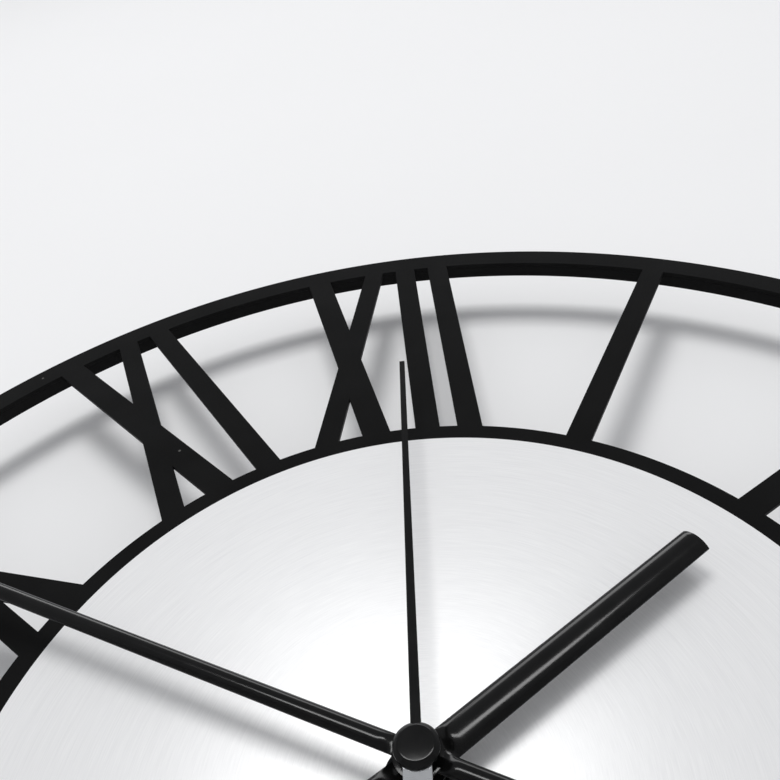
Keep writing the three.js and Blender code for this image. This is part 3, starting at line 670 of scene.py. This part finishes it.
# %% Washers and nut
def hex_nut(name, node, bore, chamfer):
    low, high = corners_of(node)
    corner = high.x
    points = [(corner * math.cos(math.radians(60 * side)), y, corner * math.sin(math.radians(60 * side)))
              for y in (low.y, high.y) for side in range(6)]
    faces = [tuple(range(6)), tuple(range(6, 12))]
    faces += [(side, (side + 1) % 6, (side + 1) % 6 + 6, side + 6) for side in range(6)]
    nut = make_piece(name, points, faces)
    flat = corner * math.cos(math.radians(30))
    cone_profile = [
        (0, low.y), (flat - 0.1, low.y), (corner + 0.05, low.y + chamfer),
        (corner + 0.05, high.y - chamfer), (flat - 0.1, high.y), (0, high.y),
    ]
    cone = spin("chamfer", [Vector(point) for point in cone_profile], 96)
    combine(nut, cone, "INTERSECT")
    combine(nut, plug(bore, low.y - 1, high.y + 1), "DIFFERENCE")
    return bevel(nut, 0.08, 2, 25)


rubber_low, rubber_high = corners_of("rubber_washer")
front_low, front_high = corners_of("front_washer")
place(washer("rubber_gasket", bush_hole, rubber_high.x, rubber_low.y, rubber_high.y, 0.12),
      "black_rubber", "rubber_washer")
place(washer("spread_washer", bush_hole, front_high.x, front_low.y, front_high.y, 0.1),
      "black_steel", "front_washer")
place(hex_nut("bush_nut", "hex_nut", bush_hole - 0.1, 0.45), "black_steel", "hex_nut")


# %% [markdown]
# ## The hour and minute hands
# These hands are pressed from thin sheet. A long half-round rib stands up along each one, and it
# sinks away in a smooth round slope before the flat eye at the middle. Each hand is a row of
# half-round sections from tail to tip, joined to a flat disc and drilled for its tube. The outer
# end is cut off square.

# %% Half-round hands
def half_round_section(half, rise, side, steps=18):
    """Points across the hand as (across, height): a low side wall, then the arc, then the other wall."""
    bulge = max(rise - side, 0.02)
    curve = (half * half + bulge * bulge) / (2 * bulge)
    sweep = math.asin(min(1.0, half / curve))
    points = [(-half, 0), (-half, side)]
    for step in range(1, steps):
        angle = sweep * (2 * step / steps - 1)
        points.append((curve * math.sin(angle), side + bulge - curve * (1 - math.cos(angle))))
    points += [(half, side), (half, 0)]
    return points


def smooth_step(value, begin, end):
    share = min(1, max(0, (value - begin) / (end - begin)))
    return share * share * (3 - 2 * share)


def pressed_hand(name, node, reach, tail, widths, eye, bore, degrees):
    """widths is the rib's width at the tail's end, at the eye and at the tip."""
    low, high = corners_of(node)
    rise = high.y - low.y
    flat = 0.45
    near_the_eye = [step / 2 for step in range(-20, 21)]
    stations = [-tail, -tail + 1, -0.5 * tail] + near_the_eye + [0.4 * reach, reach - 1, reach]
    stations = sorted(set(stations))
    turn = math.radians(degrees)
    points, faces = [], []
    for along in stations:
        tail_width, width, tip_width = widths
        end_width, share = (tip_width, along / reach) if along > 0 else (tail_width, -along / tail)
        half = (width + (end_width - width) * share) / 2
        height = flat + (rise - flat) * smooth_step(abs(along), eye - 0.4, eye + 2.6)
        section = half_round_section(half, height, 0.3)
        for across, up in section:
            points.append((along * math.sin(turn) + across * math.cos(turn), high.y - up,
                           along * math.cos(turn) - across * math.sin(turn)))
    count = len(section)
    for row in range(len(stations) - 1):
        for index in range(count):
            nextly = (index + 1) % count
            faces.append((row * count + index, row * count + nextly,
                          (row + 1) * count + nextly, (row + 1) * count + index))
    faces.append(tuple(range(count)))
    faces.append(tuple(range((len(stations) - 1) * count, len(stations) * count)))
    hand = make_piece(name, points, faces)
    combine(hand, plug(eye, high.y - flat, high.y + 0.0, turns=96), "UNION")
    combine(hand, plug(bore, low.y - 1, high.y + 1), "DIFFERENCE")
    return bevel(hand, 0.07, 2, 40)


hour_hand = pressed_hand("hour_hand_rib", "hour_hand", 69.2, 22, (8.4, 6.4, 6.0), 4.6, 2.85, 57.2)
place(hour_hand, "gloss_black", "hour_hand")
minute_hand = pressed_hand("minute_hand_rib", "minute_hand", 125, 30, (3.5, 3.5, 3.2), 4.3, 2.05, -61.4)
place(minute_hand, "gloss_black", "minute_hand")
collet_low, collet_high = corners_of("minute_collet")
place(washer("minute_collet_ring", 2.05, collet_high.x, collet_low.y, collet_high.y, 0.08, 64),
      "brass", "minute_collet")


# %% [markdown]
# ## The second hand and its cap
# The second hand is a flat strip: narrow and black ahead of a round eye, and wide and bare steel
# behind it, as a counterweight. A pressed button hides the eye. The button is flat on top with a
# well rounded shoulder, so it reflects a bright arc round a dark middle.

# %% Second hand
def flat_strip(name, node, outline, degrees):
    """A flat piece as thick as the node, from an outline of (across, along) turned to the hand's angle."""
    low, high = corners_of(node)
    turn = math.radians(degrees)
    sine, cosine = math.sin(turn), math.cos(turn)
    places = [(along * sine + across * cosine, along * cosine - across * sine) for across, along in outline]
    count = len(places)
    points = [(x, low.y, z) for x, z in places] + [(x, high.y, z) for x, z in places]
    faces = [tuple(range(count)), tuple(range(count, 2 * count))]
    faces += [(index, (index + 1) % count, (index + 1) % count + count, index + count)
              for index in range(count)]
    return make_piece(name, points, faces)


second_degrees = 2.8
eye_radius = 3.2
blade_outline = [(-0.65, 102), (-0.9, 0), (0.9, 0), (0.65, 102)]
tail_outline = [(-2.3, 0), (2.3, 0), (2.3, -36), (-2.3, -36)]
blade_low, blade_high = corners_of("second_hand")
blade = flat_strip("second_hand_blade", "second_hand", blade_outline, second_degrees)
combine(blade, plug(eye_radius, blade_low.y, blade_high.y, turns=96), "UNION")
combine(blade, plug(1.4, blade_low.y - 1, blade_high.y + 1), "DIFFERENCE")
place(bevel(blade, 0.06, 2, 35), "gloss_black", "second_hand")

counterweight = flat_strip("counterweight", "second_hand", tail_outline, second_degrees)
combine(counterweight, plug(eye_radius, blade_low.y - 1, blade_high.y + 1, turns=96), "DIFFERENCE")
place(bevel(counterweight, 0.06, 2, 35), "steel", body="seconds")

# %% Button cap
cap_low, cap_high = corners_of("hub_cap")
cap_radius = cap_high.x
cap_profile = [
    (0, cap_high.y, 0), (cap_radius, cap_high.y, 0.05), (cap_radius, cap_high.y - 0.45, 0.5),
    (cap_radius - 0.85, cap_low.y + 0.08, 0.7), (0, cap_low.y, 0),
]
cap = turned("button_cap", cap_profile, 0.3, 96)
place(cap, "gloss_black", "hub_cap")


# %% [markdown]
# ## The movement's case
# The case is two black mouldings: a deep front shell and a flat cover let into its back, beside the
# open battery bay. Copies of the frame's shapes with softened edges are enough here, because a
# moulding's walls are plain and its corners small.

# %% Case, cover and contacts
place(softened_copy("case_shell", "front_case", 0.22), "black_plastic", "front_case")
place(softened_copy("case_cover", "rear_cover", 0.14), "black_plastic", "rear_cover")
place(softened_copy("setting_thumb_wheel", "setting_knob", 0.1), "white_nylon", "setting_knob")
place(softened_copy("spring_contact_minus", "negative_contact", 0.06), "steel", "negative_contact")
place(softened_copy("spring_contact_plus", "positive_contact", 0.06), "steel", "positive_contact")


# %% [markdown]
# ## The hanger
# A strip of steel is clamped behind the dial and bent back past the top of the case, where an eye
# takes the nail. Its side view is drawn with rounded bends and pulled out to the strip's width, then
# the two holes are drilled.

# %% Bend the strip
def bent_strip(name, node):
    low, high = corners_of(node)
    sheet, bend = 0.8, 28.3
    side = [(low.y, low.z, 0.15), (low.y, bend + sheet, 1.0), (high.y - sheet, bend + sheet, 0.4),
            (high.y - sheet, high.z, 0.15), (high.y, high.z, 0.15), (high.y, bend, 1.0),
            (low.y + sheet, bend, 0.4), (low.y + sheet, low.z, 0.15)]
    outline = rounded(side, 0.3, 4)
    count = len(outline)
    points = [(x, y, z) for x in (low.x, high.x) for y, z in outline]
    faces = [tuple(range(count)), tuple(range(count, 2 * count))]
    faces += [(index, (index + 1) % count, (index + 1) % count + count, index + count)
              for index in range(count)]
    strip = make_piece(name, points, faces)
    combine(strip, plug(bush_hole, low.y - 1, low.y + sheet + 1), "DIFFERENCE")
    combine(strip, plug(4.5, high.y - sheet - 1, high.y + 1, (0, 36.2)), "DIFFERENCE")
    return bevel(strip, 0.12, 2, 50)


place(bent_strip("hanger_strip", "hanger_plate"), "steel", "hanger_plate")


# %% [markdown]
# ## The battery
# The cell is a steel can in a printed foil sleeve. The sleeve is turned over the edges at both ends,
# so the ends show bare metal with a small raised nub at the plus end. It lies along x, so the
# outline is spun about the y line and then turned on its side.

# %% Sleeve and ends
battery_low, battery_high = corners_of("battery")


def lying(piece):
    """Turn a piece made about the y line so that it lies along x on the battery's own line."""
    middle_y = (battery_low.y + battery_high.y) / 2 * MM
    middle_z = (battery_low.z + battery_high.z) / 2 * MM
    for vertex in piece.data.vertices:
        x, y, z = vertex.co
        vertex.co = (y, middle_y - x, middle_z + z)
    piece.data.update()
    return piece


left, right = battery_low.x, battery_high.x
can = (battery_high.z - battery_low.z) / 2
sleeve_profile = [
    (0, left + 0.35, 0), (can - 0.8, left + 0.35), (can - 0.8, left), (can, left, 0.6),
    (can, right - 1.3, 0.8), (can - 1.1, right - 1.3), (can - 1.1, right - 1.5), (0, right - 1.5, 0),
]
ends_profile = [
    (0, left, 0), (can - 1.2, left), (can - 1.2, left + 0.6), (2.4, left + 0.8), (2.4, right - 1.8),
    (can - 1.3, right - 1.8), (can - 1.3, right - 1.3), (2.8, right - 1.3, 0.3), (2.7, right, 0.4), (0, right, 0),
]
sleeve = spin("battery_sleeve", rounded(sleeve_profile, 0.15), 72)
ends = spin("battery_ends", rounded(ends_profile, 0.2), 72)
place(smooth(lying(sleeve)), "battery_jacket", "battery")
place(smooth(lying(ends)), "steel", body="battery")


# %% [markdown]
# ## The works
# Wheels, coil, board and crystal sit inside the closed case. The frame's own shapes are kept for
# them, and each only takes its finish, so that the case can be opened in a later scene.

# %% Finish the kept nodes
slot_of = {part["node"]: part["material_slot"] for part in frame["record"]["subparts"]}
replaced = {node for piece in made for node in piece.get("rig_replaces", [])}
for node, shape in frame["nodes"].items():
    if node not in replaced:
        shape.data.materials.clear()
        shape.data.materials.append(finishes[slot_of[node]])
print("kept with a finish:", sorted(set(frame["nodes"]) - replaced))


# %% [markdown]
# ## Wall and floor
# The clock hangs on a plain white wall, and the floor is a long way below. Both are stage, not part
# of the clock. The wall is one sided: it is solid for whoever looks at it from the room, and lets
# other light through, so that the back of the clock is lit as well when it is looked at from behind.

# %% Stage
def stage_sheet(name, corners, material):
    sheet = make_piece(name, corners, [(0, 1, 2, 3)])
    sheet.data.materials.append(material)
    return sheet


def matt_paint(name, shade, one_sided):
    material, tree, surface, where = start_finish(name, 0.0, 0.8)
    patches = noise(tree, where, 3.0, 4)
    tree.links.new(ramp(tree, patches, [(0.3, shade * 0.985), (0.7, shade)]), surface.inputs["Base Color"])
    relief(tree, surface, noise(tree, where, 900, 2), 0.01)
    surface.inputs["Specular IOR Level"].default_value = 0.15
    if one_sided:
        seen = tree.nodes.new("ShaderNodeLightPath").outputs["Is Camera Ray"]
        behind = tree.nodes.new("ShaderNodeNewGeometry").outputs["Backfacing"]
        solid = arithmetic(tree, "MULTIPLY", seen, arithmetic(tree, "SUBTRACT", 1.0, behind))
        clear = tree.nodes.new("ShaderNodeBsdfTransparent")
        choice = tree.nodes.new("ShaderNodeMixShader")
        output = next(node for node in tree.nodes if node.type == "OUTPUT_MATERIAL")
        tree.links.new(solid, choice.inputs["Fac"])
        tree.links.new(clear.outputs["BSDF"], choice.inputs[1])
        tree.links.new(surface.outputs["BSDF"], choice.inputs[2])
        tree.links.new(choice.outputs["Shader"], output.inputs["Surface"])
    return material


wall_y = 0.4
half_width = 4000
floor_z = -1400
wall_top = 3500
wall_corners = [
    (-half_width, wall_y, floor_z), (half_width, wall_y, floor_z),
    (half_width, wall_y, wall_top), (-half_width, wall_y, wall_top),
]
wall = stage_sheet("wall", wall_corners, matt_paint("white wall paint", 0.86, True))
if wall.data.polygons[0].normal.y > 0:
    wall.data.flip_normals()
half_depth = 6000
floor_corners = [
    (-half_width, -half_depth, floor_z), (half_width, -half_depth, floor_z),
    (half_width, half_depth, floor_z), (-half_width, half_depth, floor_z),
]
floor = stage_sheet("floor", floor_corners, matt_paint("pale floor", 0.7, False))
print("wall faces", wall.data.polygons[0].normal)


# %% [markdown]
# ## Light
# The light is that of a bright room: one large soft lamp in front, a little above and to the left,
# which drops soft shadows down and to the right, and an even pale surround. Polished pieces need
# something to mirror, and a room has windows and ceiling lights for that. Here two long lamps, one in
# front and one high up, are linked to the gloss black pieces only, and a second front lamp is linked to
# the brushed plate only. So each finish gets its sheen, and the wall and the ring aren't lit twice.

# %% Lamps and surround
def soft_lamp(name, spot, aim, size, watts, lights_up=True, mirrored=True):
    """A flat lamp. lights_up: it lights matt surfaces; mirrored: it shows in glossy ones."""
    lamp = bpy.data.lights.new(name, "AREA")
    lamp.shape = "RECTANGLE"
    lamp.size, lamp.size_y = size
    lamp.energy = watts
    holder = bpy.data.objects.new(name, lamp)
    holder.location = spot
    holder.rotation_mode = "QUATERNION"
    holder.rotation_quaternion = (Vector(aim) - Vector(spot)).to_track_quat("-Z", "Y")
    holder.visible_camera = False
    holder.visible_diffuse = lights_up
    holder.visible_glossy = mirrored
    bpy.context.scene.collection.objects.link(holder)
    return holder


clock = (0, 0, 0)
front_place = (-0.13, -1.5, 0.65)
soft_lamp("front_lamp", front_place, clock, (0.62, 0.62), 13, mirrored=False)
sheen = soft_lamp("front_lamp_sheen", front_place, clock, (0.62, 0.62), 7, lights_up=False)
high_strip = soft_lamp("high_strip", (0.0, -0.35, 1.5), clock, (1.6, 0.4), 8, lights_up=False)
front_strip = soft_lamp("front_strip", (0.0, -1.48, 0.28), clock, (1.4, 0.28), 24, lights_up=False)
soft_lamp("back_fill", (0.6, 1.6, 0.7), clock, (1.0, 1.0), 18)

brushed_only = bpy.data.collections.new("brushed plate only")
brushed_only.objects.link(plate)
sheen.light_linking.receiver_collection = brushed_only

gloss_only = bpy.data.collections.new("gloss pieces only")
for piece in made:
    if piece["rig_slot"] == "gloss_black":
        gloss_only.objects.link(piece)
for strip in (high_strip, front_strip):
    strip.light_linking.receiver_collection = gloss_only

surround = bpy.data.worlds.new("pale room")
surround.use_nodes = True
backdrop = surround.node_tree.nodes["Background"]
backdrop.inputs["Color"].default_value = (0.96, 0.97, 1.0, 1)
backdrop.inputs["Strength"].default_value = 0.60
bpy.context.scene.world = surround
bpy.context.scene.view_settings.view_transform = "Standard"


# %% [markdown]
# ## Camera
# The clock is looked at from close by and from below, with the camera tipped up and a little to the
# left. A short lens makes the near hub large and the far rim small.

# %% Camera
lens_data = bpy.data.cameras.new("close view from below")
lens_data.sensor_width = 36
lens_data.lens = 37.32
lens_data.clip_start = 0.005
camera = bpy.data.objects.new("camera", lens_data)
camera.location = (0.00890, -0.15494, -0.06489)
camera.rotation_euler = [math.radians(angle) for angle in (141.481, 3.429, 7.830)]
bpy.context.scene.collection.objects.link(camera)
bpy.context.scene.camera = camera
